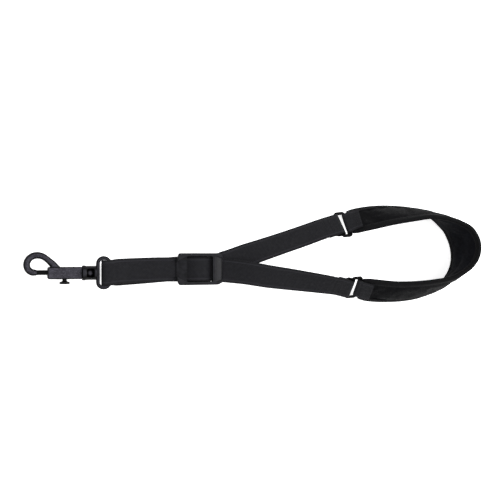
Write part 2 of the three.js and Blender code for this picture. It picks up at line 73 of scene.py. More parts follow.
# Stations of a band: x, y, z of its middle, roll of its width in degrees, width, thickness.
PAD_STATIONS = [
    (104.7, 34.2, 10.7, 33.5, 29, 3.8),
    (109.5, 35.4, 11.3, 36, 31, 4.4),
    (118, 37.4, 13.5, 42, 33, 5.2),
    (143, 41.8, 17.0, 55.5, 37, 5.6),
    (169, 44, 19.4, 66.8, 39.5, 5.6),
    (190, 44.1, 21.9, 77, 43, 5.6),
    (208, 40.3, 23.9, 83, 47, 5.6),
    (222, 33, 25.8, 89.5, 51, 5.6),
    (232.9, 24.2, 27.3, 93.5, 54, 5.6),
    (239.9, 10.2, 28.0, 93, 55.5, 5.6),
    (239.7, -4.5, 27.9, 88.5, 55, 5.6),
    (231.8, -20.1, 26.5, 80, 52.5, 5.6),
    (215, -33.3, 25.0, 71, 50.5, 5.6),
    (194, -39.5, 22.5, 64.5, 47, 5.6),
    (173.5, -42.2, 19.6, 59, 42, 5.6),
    (153, -42.7, 17.0, 54, 37.5, 5.6),
    (134, -41.4, 14.9, 48.5, 35, 5.4),
    (123, -40.0, 13.8, 44.5, 32.6, 4.6),
    (116.4, -38.9, 13.2, 43.5, 29.5, 3.8),
]
UPPER_STATIONS = [
    (-40.5, -10.8, 2.05, 0),
    (-28, -6.9, 2.6, 5),
    (-14, -1.8, 4.5, 16),
    (0, 2.9, 6.2, 24),
    (20, 9.4, 7.8, 29),
    (48, 18.6, 9.6, 31),
    (74, 27.6, 11.8, 33),
]
LOWER_STATIONS = [
    (-40.3, -17.5, 3.85, 0),
    (-30, -18.6, 6.0, 4),
    (-18, -20, 8.4, 9),
    (-6, -21.9, 10.0, 12),
    (8, -24.3, 10.5, 15),
    (30, -27.3, 10.3, 22),
    (52, -30.4, 10.7, 30),
    (72, -33.3, 12.4, 36.5),
    (88.6, -36.1, 14.5, 42.5),
]

SLIDER_PLACE = (-66.4, -16, 0)
SLIDER_LENGTH = 50.0
SLIDER_WIDTH = 33.0
SLIDER_TOP = 8.2
SLIDER_UNDER = 4.85
SLIDER_WINDOW = 28.0
SLIDER_INSIDE = 26.3
SLIDER_LEGS = (-20.4, 9.5)          # the side rails reach the table from here to here
SLIDER_LEDGE = 2.0                  # low ledge inside each rail
CENTRE_BAR = 8.0
CENTRE_BAR_TOP = 3.2
STRAND_BACK = 2.05
STRAND_FRONT = 3.85
STRAND_LIFT = 2.35
# A strand in the slider: along it, and its share of the lift over the centre bar.
STRAND_CLIMB = [(-25.55, 0), (-14, 0), (-9, 0.42), (-4.2, 0.9), (0, 1), (4.2, 0.9), (9, 0.42),
                (13.5, 0), (25.8, 0)]
STRAND_BACK_Y = [-15.7] * 6 + [-15.6, -15, -11.1]
STRAND_FRONT_Y = [-16.2] * 7 + [-16.3, -17.4]

STRAND_END_X = -92.0
STRAND_END_Y = (-16.4, -15.7)       # front and back strand
TURN_FRONT = [(-112, 4.9), (-130, 6.2), (-143, 8), (-153, 10.6), (-160, 12.2)]
TURN_BACK = [(-160, 6.1), (-153, 5.9), (-143, 5.4), (-130, 4.5), (-112, 3.25)]
TURN_CENTRE = (-164.7, -18.9, 9.2)
TURN_RADIUS = 3.25
# The strands fan out between slider and hook: x, front one sideways, back one sideways.
STRAND_FAN = [(-164.7, 0, 0), (-158.6, 0.2, -0.2), (-154, 0.9, -1.2), (-140, 1, -1.1),
              (-120, 0.95, -0.8), (-105, 0.8, -0.3), (STRAND_END_X, 0.2, 0)]

HOOK_ORIGIN = (-180, -18.9, 8)
HOOK_TILT = 4.2                     # degrees
LOOP_INSIDE = 25.3
LOOP_HALF = 16.7                    # half the loop's width
LOOP_BACK = 21.2                    # from the swivel to the outside of the strap bar
LOOP_BAR = 2.2                      # radius of the strap bar
STEM_RADIUS = 2.6
BALL_RADIUS = 4.2
BOLT_SIDE = 0.6                     # the bolt lies this far beside the swivel's axis
SPRING_START, SPRING_END = -21.3, -10.3
SPRING_RADIUS = 1.95
SPRING_WIRE = 0.225
SPRING_TURNS = 6

RING_INSIDE = 25.8
RING_GAP = 8.2
RING_BAR = 2.4                      # the two bars that the strap goes round
RING_SIDE_BAR = 3.4
RING_BAR_THICK = 2.1
RING_CORNER = 2.0
RING_EDGE = 0.55
RING_BAR_OFFSET = (RING_GAP + RING_BAR) / 2
FOLD_OFFSET = 2.8
FLAP_DEPTH = [(3, 2 * FOLD_OFFSET), (5.5, 4.5), (8, 2.6), (10.5, WEB_THICK + LAYER_GAP),
              (19.5, WEB_THICK + LAYER_GAP)]
TAB_OUTER = 12.0
TAB_INNER = 12.0
BRANCH_SKEW_REACH = 18.0            # a strap turns towards its fold over this length
PAD_SKEW_REACH = 35.0
STITCH_INSET = 3.2                  # stitch rows end this far from the selvedge

BINDING_WIDE = 6.0
BINDING_THICK = 0.55
SHEET_THICK = 0.7                   # pad cover and lining


# ---------------------------------------------------------------- bands

class Station(NamedTuple):
    """A place on a band, with its length, width and face directions."""

    place: np.ndarray
    along: np.ndarray
    across: np.ndarray
    normal: np.ndarray
    width: float = WEB_WIDTH
    thick: float = WEB_THICK

    def at(self, across, out):
        return self.place + across * self.across + out * self.normal


def unit(vector):
    return vector / np.linalg.norm(vector)


def smooth(rows, steps):
    """Centripetal Catmull-Rom through rows of numbers, spaced by the distance of their first three."""
    rows = np.array(rows, float)
    rows = np.vstack([2 * rows[0] - rows[1], rows, 2 * rows[-1] - rows[-2]])
    out = []
    for p0, p1, p2, p3 in zip(rows, rows[1:], rows[2:], rows[3:]):
        d0, d1, d2 = (math.sqrt(np.linalg.norm((b - a)[:3]))
                      for a, b in ((p0, p1), (p1, p2), (p2, p3)))
        m1 = d1 * ((p1 - p0) / d0 - (p2 - p0) / (d0 + d1) + (p2 - p1) / d1)
        m2 = d1 * ((p2 - p1) / d1 - (p3 - p1) / (d1 + d2) + (p3 - p2) / d2)
        for t in np.arange(steps) / steps:
            out.append((2 * t**3 - 3 * t**2 + 1) * p1 + (t**3 - 2 * t**2 + t) * m1
                       + (3 * t**2 - 2 * t**3) * p2 + (t**3 - t**2) * m2)
    out.append(rows[-2])
    return np.array(out)


def station(place, along, roll, *size):
    inward = unit(np.cross(along, UP))
    up = unit(np.cross(inward, along))
    c, s = math.cos(math.radians(roll)), math.sin(math.radians(roll))
    return Station(place, along, c * inward + s * up, c * up - s * inward, *size)


def directions(points):
    ahead = np.vstack([points[1:], points[-1]])
    behind = np.vstack([points[0], points[:-1]])
    return [unit(step) for step in ahead - behind]


def band(stations, steps):
    rows = smooth(stations, steps)
    return [station(row[:3], along, row[3], *row[4:])
            for row, along in zip(rows, directions(rows[:, :3]))]


def ribbon(places, acrosses, steps=1):
    """Stations along a path that has its own direction across the strap at each place."""
    rows = smooth(np.hstack([places, acrosses]), steps)
    made = []
    for row, along in zip(rows, directions(rows[:, :3])):
        across = unit(row[3:])
        made.append(Station(row[:3], along, across, -unit(np.cross(along, across))))
    return made


def travelled(points):
    """Distance along a path at each of its points."""
    steps = np.linalg.norm(np.diff(points, axis=0), axis=1)
    return np.concatenate([[0], np.cumsum(steps)])


def distances(stations):
    return travelled(np.array([s.place for s in stations]))


def nearest(stations, reach, wanted):
    return stations[int(np.argmin(abs(reach - wanted)))]


# ---------------------------------------------------------------- meshes

def make_piece(name, vertices, faces, cloth=None, sharp=40):
    """A mesh in millimetres becomes an object. cloth holds across, along, out for its weave."""
    mesh = bpy.data.meshes.new(name)
    mesh.from_pydata((np.asarray(vertices) * MM).tolist(), [], faces)
    if cloth is not None:
        layer = mesh.attributes.new("cloth", "FLOAT_VECTOR", "POINT")
        layer.data.foreach_set("vector", np.asarray(cloth, np.float32).ravel())
    made = bmesh.new()
    made.from_mesh(mesh)
    bmesh.ops.recalc_face_normals(made, faces=made.faces)
    made.to_mesh(mesh)
    made.free()
    mesh.shade_smooth()
    mesh.set_sharp_from_angle(angle=math.radians(sharp))
    obj = bpy.data.objects.new(name, mesh)
    bpy.context.scene.collection.objects.link(obj)
    return obj


def grid(rows, sides, closed_rows=False):
    """Quads of a tube with that many rows of points, each a closed outline."""
    faces = []
    for i in range(rows if closed_rows else rows - 1):
        for j in range(sides):
            a, b = i * sides, ((i + 1) % rows) * sides
            k = (j + 1) % sides
            faces.append((a + j, a + k, b + k, b + j))
    return faces


def capped(rows, sides):
    """Faces of an open tube and of its two ends."""
    last = (rows - 1) * sides
    return grid(rows, sides) + [tuple(range(sides))[::-1], tuple(range(last, last + sides))]


def loft(name, stations, outlines, **options):
    """A closed band through one outline of (across, out) pairs per station."""
    vertices, cloth = [], []
    for where, distance, outline in zip(stations, distances(stations), outlines):
        for across, out in outline:
            vertices.append(where.at(across, out))
            cloth.append((across, distance, out))
    return make_piece(name, vertices, capped(len(stations), len(outlines[0])), cloth, **options)


def tube(points, radius, sides=8, closed=False):
    """Vertices and faces of a round tube along points."""
    points = np.asarray(points, float)
    if closed:
        alongs = [unit(b - a) for a, b in zip(np.roll(points, 1, 0), np.roll(points, -1, 0))]
    else:
        alongs = directions(points)
    side = unit(np.cross(alongs[0], UP if abs(alongs[0][2]) < 0.9 else np.array([1.0, 0, 0])))
    vertices = []
    for point, along in zip(points, alongs):
        side = unit(side - along * (along @ side))
        other = np.cross(along, side)
        for angle in np.arange(sides) * 2 * math.pi / sides:
            vertices.append(point + radius * (math.cos(angle) * side + math.sin(angle) * other))
    count = len(points)
    return vertices, grid(count, sides, True) if closed else capped(count, sides)


def finish_piece(obj, material, body=None, nodes=()):
    obj.data.materials.append(material)
    if nodes:
        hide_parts(*nodes)
    if body:
        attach(obj, body)
    return obj


# ---------------------------------------------------------------- materials

def linear(*srgb):
    """Linear colour of an 8-bit sRGB one."""
    return tuple(c / 255 / 12.92 if c <= 10 else ((c / 255 + 0.055) / 1.055) ** 2.4
                 for c in srgb) + (1.0,)


class Look:
    """One material and short names for building its nodes."""

    def __init__(self, name, roughness=0.5, specular=0.5, **fixed):
        self.material = bpy.data.materials.new(name)
        self.material.use_nodes = True
        self.tree = self.material.node_tree
        self.shader = self.tree.nodes["Principled BSDF"]
        self.shader.inputs["Specular IOR Level"].default_value = specular
        self.shader.inputs["Roughness"].default_value = roughness
        for socket, value in fixed.items():
            self.shader.inputs[socket.replace("_", " ")].default_value = value

    def feed(self, socket, value):
        if isinstance(value, bpy.types.NodeSocket):
            self.tree.links.new(value, socket)
        else:
            socket.default_value = value

    def node(self, kind, **settings):
        made = self.tree.nodes.new("ShaderNode" + kind)
        for key, value in settings.items():
            setattr(made, key, value)
        return made

    def math(self, operation, *values, clamp=False):
        made = self.node("Math", operation=operation, use_clamp=clamp)
        for socket, value in zip(made.inputs, values):
            self.feed(socket, value)
        return made.outputs[0]

    def cloth(self):
        """Across, along and out of a fabric piece, in millimetres."""
        split = self.node("SeparateXYZ")
        self.feed(split.inputs[0], self.node("Attribute", attribute_name="cloth").outputs["Vector"])
        return split.outputs

    def place(self):
        """The piece's own coordinates, in metres."""
        return self.node("TexCoord").outputs["Object"]

    def noise(self, size_mm, detail=3.0, stretch=None):
        """Noise from 0 to 1 with features of about that size."""
        made = self.node("TexNoise")
        vector = self.place()
        if stretch:
            mapping = self.node("Mapping")
            self.feed(mapping.inputs["Vector"], vector)
            self.feed(mapping.inputs["Scale"], stretch)
            vector = mapping.outputs[0]
        self.feed(made.inputs["Vector"], vector)
        self.feed(made.inputs["Scale"], 1 / (size_mm * MM))
        self.feed(made.inputs["Detail"], detail)
        return made.outputs[0]

    def range(self, value, low, high, out_low=0.0, out_high=1.0):
        made = self.node("MapRange", interpolation_type="SMOOTHSTEP")
        for socket, number in zip(made.inputs, (value, low, high, out_low, out_high)):
            self.feed(socket, number)
        return made.outputs[0]

    def blend(self, share, a, b):
        made = self.node("Mix", data_type="RGBA")
        for index, value in ((0, share), (6, a), (7, b)):
            self.feed(made.inputs[index], value)
        return made.outputs[2]

    def bump(self, height, depth_mm, normal=None):
        made = self.node("Bump")
        self.feed(made.inputs["Height"], height)
        made.inputs["Distance"].default_value = depth_mm * MM
        if normal is not None:
            self.feed(made.inputs["Normal"], normal)
        self.feed(self.shader.inputs["Normal"], made.outputs[0])
        return made.outputs[0]

    def colour(self, value):
        self.feed(self.shader.inputs["Base Color"], value)

    def roughness(self, value):
        self.feed(self.shader.inputs["Roughness"], value)


def cords(look, rib, pick):
    """Height of a weave of cords along the band, each crossed by picks half a step apart."""
    across, along, _ = look.cloth()
    column = look.math("MULTIPLY", across, 1 / rib)
    inside = look.math("SUBTRACT", look.math("FRACT", column), 0.5)
    square = look.math("POWER", look.math("ABSOLUTE", inside), 2.0)
    cord = look.math("MULTIPLY_ADD", square, -4.0, 1.0)
    odd = look.math("FLOORED_MODULO", look.math("FLOOR", column), 2.0)
    step = look.math("MULTIPLY_ADD", along, 1 / pick, look.math("MULTIPLY", odd, 0.5))
    wave = look.math("COSINE", look.math("MULTIPLY", step, 2 * math.pi))
    return look.math("MULTIPLY", cord, look.math("MULTIPLY_ADD", wave, 0.28, 0.72))


def webbing_look():
    look = Look("webbing", 0.72, 0.08, Sheen_Weight=0.015, Sheen_Roughness=0.4)
    height = cords(look, 1.25, 1.7)
    across = look.cloth()[0]
    # Painted highlight: a lighter line is painted into the colour beside each selvedge.
    line = look.math("ABSOLUTE", look.math("SUBTRACT", look.math("ABSOLUTE", across),
                                           WEB_WIDTH / 2 - SELVEDGE))
    line = look.range(line, 0.35, 0.75, 1, 0)
    # Painted shade: the weave's grooves are coloured darker than its cords.
    base = look.blend(look.range(height, 0.1, 0.9), linear(13, 13, 15), linear(25, 25, 28))
    base = look.blend(look.math("MULTIPLY", line, 0.5), base, linear(38, 38, 42))
    # Painted shade: colour darkened towards the round selvedges, which face sideways.
    painted_edge_shade = look.range(look.math("ABSOLUTE", across), WEB_WIDTH / 2 - 1.2, WEB_WIDTH / 2 - 0.5,
                     0, 0.6)
    base = look.blend(painted_edge_shade, base, linear(11, 11, 13))
    worn = look.range(look.noise(3), 0.42, 0.7, 0, 0.25)
    look.colour(look.blend(worn, base, linear(29, 29, 32)))
    look.roughness(look.range(look.noise(2.5), 0.3, 0.7, 0.66, 0.84))
    fuzz = look.bump(look.noise(0.35), 0.05)
    look.bump(height, 0.22, fuzz)
    return look.material


def binding_look():
    look = Look("binding_tape", 0.75, 0.05, Sheen_Weight=0.01, Sheen_Roughness=0.4)
    along = look.cloth()[1]
    wave = look.math("COSINE", look.math("MULTIPLY", along, 2 * math.pi / 0.85))
    height = look.math("MULTIPLY_ADD", wave, 0.5, 0.5)
    # Painted shade: the tape is coloured darker in the hollows between its ribs.
    base = look.blend(height, linear(6, 6, 7), linear(14, 14, 15))
    look.colour(look.blend(look.range(look.noise(3), 0.4, 0.7, 0, 0.3), base, linear(18, 18, 20)))
    look.roughness(look.range(look.noise(1.5), 0.3, 0.7, 0.7, 0.88))
    look.bump(height, 0.12, look.bump(look.noise(0.3), 0.04))
    return look.material


def cover_look():
    look = Look("cover_fabric", 0.8, 0.05, Sheen_Weight=0.008, Sheen_Roughness=0.4)
    height = cords(look, 0.62, 0.62)
    # Painted shade: the weave's grooves are coloured darker than its cords.
    base = look.blend(height, linear(3, 3, 4), linear(8, 8, 10))
    look.colour(look.blend(look.range(look.noise(4), 0.42, 0.72, 0, 0.35), base,
                           linear(12, 12, 14)))
    look.roughness(look.range(look.noise(2), 0.3, 0.7, 0.74, 0.9))
    creases = look.bump(look.noise(7, 2.0), 0.35)
    look.bump(height, 0.1, creases)
    return look.material


def lining_look():
    look = Look("lining_velour", 0.95, 0.03, Sheen_Weight=0.02, Sheen_Roughness=0.35)
    pile = look.noise(0.45, 4.0)
    nap = look.range(look.noise(9, 4.0), 0.38, 0.66)
    base = look.blend(nap, linear(9, 9, 11), linear(15, 16, 19))
    look.colour(look.blend(look.range(pile, 0.35, 0.7, 0, 0.5), base, linear(21, 22, 26)))
    look.bump(pile, 0.16, look.bump(look.noise(6, 2.0), 0.3))
    return look.material


def foam_look():
    look = Look("pad_foam", 0.95, 0.1)
    cells = look.node("TexVoronoi")
    look.feed(cells.inputs["Vector"], look.place())
    cells.inputs["Scale"].default_value = 1 / (0.8 * MM)
    # Painted shade: each foam cell is coloured darker towards its pit.
    look.colour(look.blend(cells.outputs[0], linear(22, 22, 24), linear(48, 48, 50)))
    look.bump(cells.outputs[0], 0.2)
    return look.material


def plastic_look(name, dark, light, roughness, grain_mm, depth_mm, specular, speckle=0.2,
                 painted_side_shade=0.6):
    """Moulded plastic: grained faces with flow marks, speckle and rubbed patches, and painted shade on
    sideways faces.
    """
    look = Look(name, roughness, specular)
    grain = look.noise(grain_mm, 2.0)
    flow = look.noise(6, 4.0)
    rubbed = look.range(look.noise(3.5, 5.0), 0.55, 0.72, 0, 0.6)
    base = look.blend(look.range(flow, 0.3, 0.7), dark, light)
    pale = tuple(min(1, c * 1.9) for c in light[:3]) + (1.0,)
    spots = look.range(look.noise(1.3, 2.0), 0.48, 0.66, 0, speckle)
    base = look.blend(spots, look.blend(look.math("MULTIPLY", rubbed, 0.3), base, pale), pale)
    facing = look.node("SeparateXYZ")
    look.feed(facing.inputs[0], look.node("TexCoord").outputs["Normal"])
    # Painted shade: the further a face turns sideways from straight up, the darker its colour is
    # painted.
    edge = look.range(look.math("ABSOLUTE", facing.outputs[2]), 0.8, 0.97,
                      painted_side_shade, 0)
    look.colour(look.blend(edge, base, tuple(c * 0.1 for c in dark[:3]) + (1.0,)))
    look.roughness(look.math("MULTIPLY_ADD", rubbed, -0.1,
                             look.range(flow, 0.3, 0.7, roughness - 0.04, roughness + 0.05)))
    look.bump(grain, depth_mm)
    return look.material


def steel_look():
    look = Look("spring_steel", 0.28, 0.5, Metallic=1.0)
    drawn = look.noise(0.4, 3.0, stretch=(1, 8, 8))
    look.colour(look.blend(drawn, linear(150, 152, 156), linear(196, 198, 202)))
    look.roughness(look.range(drawn, 0.3, 0.7, 0.22, 0.38))
    return look.material


def thread_look():
    look = Look("thread", 0.7, 0.12)
    twist = look.noise(0.3, 2.0)
    look.colour(look.blend(twist, linear(12, 12, 13), linear(30, 30, 33)))
    look.bump(twist, 0.06)
    return look.material


WEBBING = webbing_look()
BINDING = binding_look()
COVER = cover_look()
LINING = lining_look()
FOAM = foam_look()
# The last value sets how far painted shade darkens the sideways faces.
GRAINED = {"roughness": 0.5, "grain_mm": 0.35, "depth_mm": 0.05, "specular": 0.06, "painted_side_shade": 0.95}
HOOK_PLASTIC = plastic_look("hook_plastic", linear(36, 35, 40), linear(49, 48, 54), speckle=0.6,
                            **GRAINED)
LOOP_PLASTIC = plastic_look("loop_plastic", linear(26, 26, 30), linear(37, 37, 41), speckle=0.35,
                            **GRAINED)
PIN_PLASTIC = plastic_look("pin_plastic", linear(3, 3, 4), linear(6, 6, 7), roughness=0.4,
                           grain_mm=0.5, depth_mm=0.02, specular=0.06)
KNOB_PLASTIC = plastic_look("knob_plastic", linear(6, 6, 7), linear(10, 10, 11), roughness=0.4,
                            grain_mm=0.5, depth_mm=0.02, specular=0.15)
SLIDER_PLASTIC = plastic_look("slider_plastic", linear(16, 16, 18), linear(25, 25, 28),
                              roughness=0.42, grain_mm=0.3, depth_mm=0.03, specular=0.08)
RING_PLASTIC = plastic_look("ring_plastic", linear(5, 5, 6), linear(9, 9, 10), roughness=0.42,
                            grain_mm=0.4, depth_mm=0.02, specular=0.06)
STEEL = steel_look()
THREAD = thread_look()


# ---------------------------------------------------------------- webbing

def half_round(radius, count=6):
    """(outward, out) offsets from the upper to the lower face of a round edge."""
    angles = np.linspace(math.pi / 2, -math.pi / 2, count + 1)
    return [(radius * math.cos(a), radius * math.sin(a)) for a in angles]


def webbing_outline():
    """A flat weave with a shallow line beside each round selvedge."""
    top = WEB_THICK / 2
    flat = WEB_WIDTH / 2 - top
    line = WEB_WIDTH / 2 - SELVEDGE
    steps = [(line + 0.9, 0), (line + 0.35, 0.3), (line, 1), (line - 0.35, 0.3), (line - 0.9, 0),
             (6, 0), (3, 0)]
    right = [(a, top - SELVEDGE_DEEP * deep) for a, deep in steps]
    face = [(-a, n) for a, n in right] + [(0, top)] + right[::-1]
    edge = [(flat + a, n) for a, n in half_round(top)]
    upper = face + edge
    return upper + [(-a, -n) for a, n in upper]


def webbing(name, stations, node, body=None):
    obj = loft(name, stations, [webbing_outline()] * len(stations))
    return finish_piece(obj, WEBBING, body, [node])


def strand_in_slider(height, sideways):
    rows = [(SLIDER_PLACE[0] + x, y, height + up * STRAND_LIFT, 0)
            for (x, up), y in zip(STRAND_CLIMB, sideways)]
    return band(rows, 8)


def hook_turn():
    turn = []
    for angle in np.linspace(0.5, 1.5, 11) * math.pi:
        turn.append((TURN_CENTRE[0] + TURN_RADIUS * math.cos(angle),
                     TURN_CENTRE[2] + TURN_RADIUS * math.sin(angle)))
    path = [(STRAND_END_X, STRAND_FRONT), *TURN_FRONT, *turn, *TURN_BACK,
            (STRAND_END_X, STRAND_BACK)]
    places = []
    for i, (x, z) in enumerate(path):
        share = min(1, (x - STRAND_END_X) / (TURN_CENTRE[0] - STRAND_END_X))
        strand = 0 if i < len(path) / 2 else 1
        y = STRAND_END_Y[strand]
        fan = np.interp(x, [row[0] for row in STRAND_FAN], [row[strand + 1] for row in STRAND_FAN])
        places.append((x, y + (TURN_CENTRE[1] - y) * share + fan, z))
    return ribbon(places, [(0, 1, 0)] * len(places), 8)


class Ring(NamedTuple):
    """A ring's own station, how its two folds are skewed and how far they hang back."""

    middle: Station
    roll: float
    skew: float
    slack: float


def ring(centre, heading, roll, skew, slack):
    turn = math.radians(heading)
    along = np.array([math.cos(turn), math.sin(turn), 0])
    return Ring(station(np.array(centre, float), along, roll), roll, skew, slack)


UPPER_RING = ring((96.1, 31.6, 10.6), 6.8, 33, 3.4, 0)
LOWER_RING = ring((107.7, -37.3, 13.2), 184, 43, 1.6, 0.3)


def turned(where, angle):
    """A station whose width is turned in the strap's own plane."""
    across = math.cos(angle) * where.across + math.sin(angle) * where.along
    return where._replace(across=across)


def fold(at, bar_side, count=10):
    """Places round a ring's bar, from above it to below it on the slot's side, and the width."""
    middle = at.middle
    places = []
    for angle in np.linspace(0, math.pi, count + 1):
        back = RING_BAR_OFFSET + at.slack - FOLD_OFFSET * math.sin(angle)
        places.append(middle.place + bar_side * back * middle.along
                      + FOLD_OFFSET * math.cos(angle) * middle.normal)
    return places, turned(middle, -bar_side * math.radians(at.skew)).across


def skewed(stations, across, reach):
    """Stations whose width turns, near their end, until it lies along a fold."""
    last = stations[-1]
    turn = math.atan2(across @ last.along, across @ last.across)
    away = distances(stations)[-1] - distances(stations)
    share = np.clip(1 - away / reach, 0, 1)
    return [turned(s, turn * k) for s, k in zip(stations, share * share * (3 - 2 * share))]


def branch(rows, at, bar_side):
    """A strand, its turn round a ring's bar and the sewn flap that lies under it."""
    turn, across = fold(at, bar_side)
    rows = [*rows, (*turn[0], at.roll)]
    straight = band(rows, 5) if bar_side < 0 else band(rows[::-1], 5)[::-1]
    strand = skewed(straight, across, BRANCH_SKEW_REACH)
    back, flap = 0, []
    for here, nearer in zip(strand[-2::-1], strand[:0:-1]):
        back += np.linalg.norm(here.place - nearer.place)
        if FLAP_DEPTH[0][0] <= back <= FLAP_DEPTH[-1][0]:
            depth = np.interp(back, *zip(*FLAP_DEPTH))
            flap.append((here.place - depth * here.normal, here.across))
    path = [(s.place, s.across) for s in strand[:-1]]
    path += [(place, across) for place in turn] + flap
    return ribbon(*zip(*path), 3), strand


def tab_height(where):
    """From the pad's middle to the middle of a tab that lies on it."""
    return where.thick / 2 + LAYER_GAP + WEB_THICK / 2


def tab(at, bar_side, pad):
    """A strap end from the pad's outer face round the ring's bar to its inner face."""
    reach = distances(pad)
    outer = [(s.at(0, tab_height(s)), s.across) for s, d in zip(pad, reach) if d < TAB_OUTER]
    inner = [(s.at(0, -tab_height(s)), s.across) for s, d in zip(pad, reach) if d < TAB_INNER]
    turn, across = fold(at, bar_side)
    folded = [(place, across) for place in turn]
    return ribbon(*zip(*(outer[::-1] + folded + inner)), 3)


def stitches(name, lines, pitch=2.7, length=2.0, radius=0.2):
    """Stitches along lines of (point, normal) pairs, each a thread that dives in at its ends."""
    vertices, faces = [], []
    for line in lines:
        points = np.array([p for p, _ in line])
        normals = np.array([n for _, n in line])
        run = travelled(points)

        def on(distance, values):
            return np.array([np.interp(distance, run, values[:, k]) for k in range(3)])

        for middle in np.arange(pitch / 2, run[-1], pitch):
            offsets = np.array([-0.5, -0.38, 0, 0.38, 0.5]) * length
            lift = np.array([-0.25, 0.02, 0.12, 0.02, -0.25])
            path = [on(middle + o, points) + h * unit(on(middle, normals))
                    for o, h in zip(offsets, lift)]
            more, sides = tube(path, radius, 6)
            faces += [tuple(len(vertices) + i for i in face) for face in sides]
            vertices += more
    return make_piece(name, vertices, faces)


hook_end = webbing("webbing_turn", hook_turn(), "webbing_hook_turn")
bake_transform(hook_end)
webbing("webbing_back_strand", strand_in_slider(STRAND_BACK, STRAND_BACK_Y),
        "webbing_slider_back", "slider")
webbing("webbing_front_strand", strand_in_slider(STRAND_FRONT, STRAND_FRONT_Y),
        "webbing_slider_front", "slider")

# Both ends of the pad lie along the folds of their tabs.
pad = skewed(band(PAD_STATIONS, 10), fold(LOWER_RING, -1)[1], PAD_SKEW_REACH)
pad = skewed(pad[::-1], fold(UPPER_RING, 1)[1], PAD_SKEW_REACH)[::-1]
upper_path, upper_strand = branch(UPPER_STATIONS, UPPER_RING, -1)
lower_path, lower_strand = branch(LOWER_STATIONS, LOWER_RING, 1)
upper_tab = tab(UPPER_RING, 1, pad)
lower_tab = tab(LOWER_RING, -1, pad[::-1])
webbing("tab_upper", upper_tab, "pad_tab_upper", "strap")
webbing("tab_lower", lower_tab, "pad_tab_lower", "strap")


def row_across(where, top):
    """A stitch line across a strap at one station."""
    half = WEB_WIDTH / 2 - STITCH_INSET
    return [(where.at(a, top), where.normal) for a in np.linspace(-half, half, 9)]


BRANCH_ROWS = (10, 17)              # stitch rows over the sewn flap, back from the ring


def sewn_branch(name, path, strand, node):
    obj = webbing(name, path, node)
    reach = distances(strand[::-1])[::-1]
    lines = [row_across(nearest(strand, reach, wanted), WEB_THICK / 2 * 1.02)
             for wanted in BRANCH_ROWS]
    rows = finish_piece(stitches(name + "_stitches", lines), THREAD)
    for piece in (obj, rows):
        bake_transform(piece)


sewn_branch("webbing_upper", upper_path, upper_strand, "webbing_branch_upper")
sewn_branch("webbing_lower", lower_path, lower_strand, "webbing_branch_lower")


# ---------------------------------------------------------------- rings

def rounded_rectangle(half_x, half_y, radius, steps=5):
    points = []
    for cx, cy, start in ((1, 1, 0), (-1, 1, 90), (-1, -1, 180), (1, -1, 270)):
        for angle in np.radians(start + np.linspace(0, 90, steps + 1)):
            points.append((cx * (half_x - radius) + radius * math.cos(angle),
                           cy * (half_y - radius) + radius * math.sin(angle)))
    return points


def ring_piece(name, at, node, body):
    """A rectangular ring of rounded bar, swept round its middle line."""
    place, along, across, normal = at.middle[:4]
    middle = rounded_rectangle(RING_BAR_OFFSET, (RING_INSIDE + RING_SIDE_BAR) / 2,
                               RING_CORNER, 6)
    section = rounded_rectangle(1, RING_BAR_THICK / 2, RING_EDGE, 4)
    vertices = []
    count = len(middle)
    for i, (x, y) in enumerate(middle):
        (x0, y0), (x1, y1) = middle[i - 1], middle[(i + 1) % count]
        out = unit(np.array([y1 - y0, x0 - x1]))
        half = (RING_BAR * out[0] ** 2 + RING_SIDE_BAR * out[1] ** 2) / 2
        for wide, high in section:
            x_at, y_at = np.array([x, y]) + out * half * wide
            vertices.append(place + x_at * along + y_at * across + high * normal)
    obj = make_piece(name, vertices, grid(count, len(section), closed_rows=True), sharp=60)
    finish_piece(obj, RING_PLASTIC, body, [node])


ring_piece("ring_bar_upper", UPPER_RING, "ring_upper", "upper_ring")
ring_piece("ring_bar_lower", LOWER_RING, "ring_lower", "lower_ring")


# ---------------------------------------------------------------- neck pad

PAD_REACH = distances(pad)
OUT, IN = 1, -1                     # the pad's outer face (cover) and inner face (lining)
CROWN = {OUT: 1.5, IN: 1.0}         # how far each face bulges
EDGE_POWER = 3.2                    # how square the bound edge is
TUCK = 1.1                          # cover and lining stop this far from the pad's edge
SKIN_SHARES = np.linspace(-1, 1, 13)
SWELL = {face: np.zeros((len(pad), len(SKIN_SHARES))) for face in (OUT, IN)}
SWELL_CAP = 1.2                     # the swell levels off towards this height
SWELL_FRAMES = 20
SKIN_QUALITY = 8
SKIN_MASS = 0.02
SKIN_PRESSURE = 4
SKIN_SHRINK = -0.03                 # below 0 the cloth is cut too large, so it creases
CORE_ENDS = 20                      # stations at each end of the pad without foam
PUCKER, PUCKER_PITCH = 0.07, 5.4    # of the binding
LIP_STITCH = 1.3                    # from a binding's lip to its stitches
HEM_ROWS = 33
TAB_ROWS = (6.5, 10.5)              # stitch rows of a tab, from the pad's end


def edge_height(depth):
    """Height of the bound edge as a share of its lip's, at a depth in from the pad's edge."""
    share = np.clip(depth / BINDING_WIDE, 0, 1)
    return (1 - (1 - share) ** EDGE_POWER) ** (1 / EDGE_POWER)


def fill(index):
    """0 under a tab at the pad's ends, growing to 1 where the pad is full."""
    to_end = min(PAD_REACH[index], PAD_REACH[-1] - PAD_REACH[index])
    share = np.clip((to_end - TAB_OUTER - 3) / 22, 0, 1)
    return share * share * (3 - 2 * share)


def face_height(index, across, face):
    """Height of the cover or lining above the pad's middle."""
    here = pad[index]
    depth = here.width / 2 - abs(across)
    under = here.thick / 2 * edge_height(depth) - BINDING_THICK - 0.05
    inside = max(0.0, 1 - (abs(across) / (here.width / 2 - BINDING_WIDE)) ** 2)
    swell = np.interp(across / (here.width / 2 - TUCK), SKIN_SHARES, SWELL[face][index])
    return under + CROWN[face] * fill(index) * (1 - (1 - inside) ** 1.5) + swell


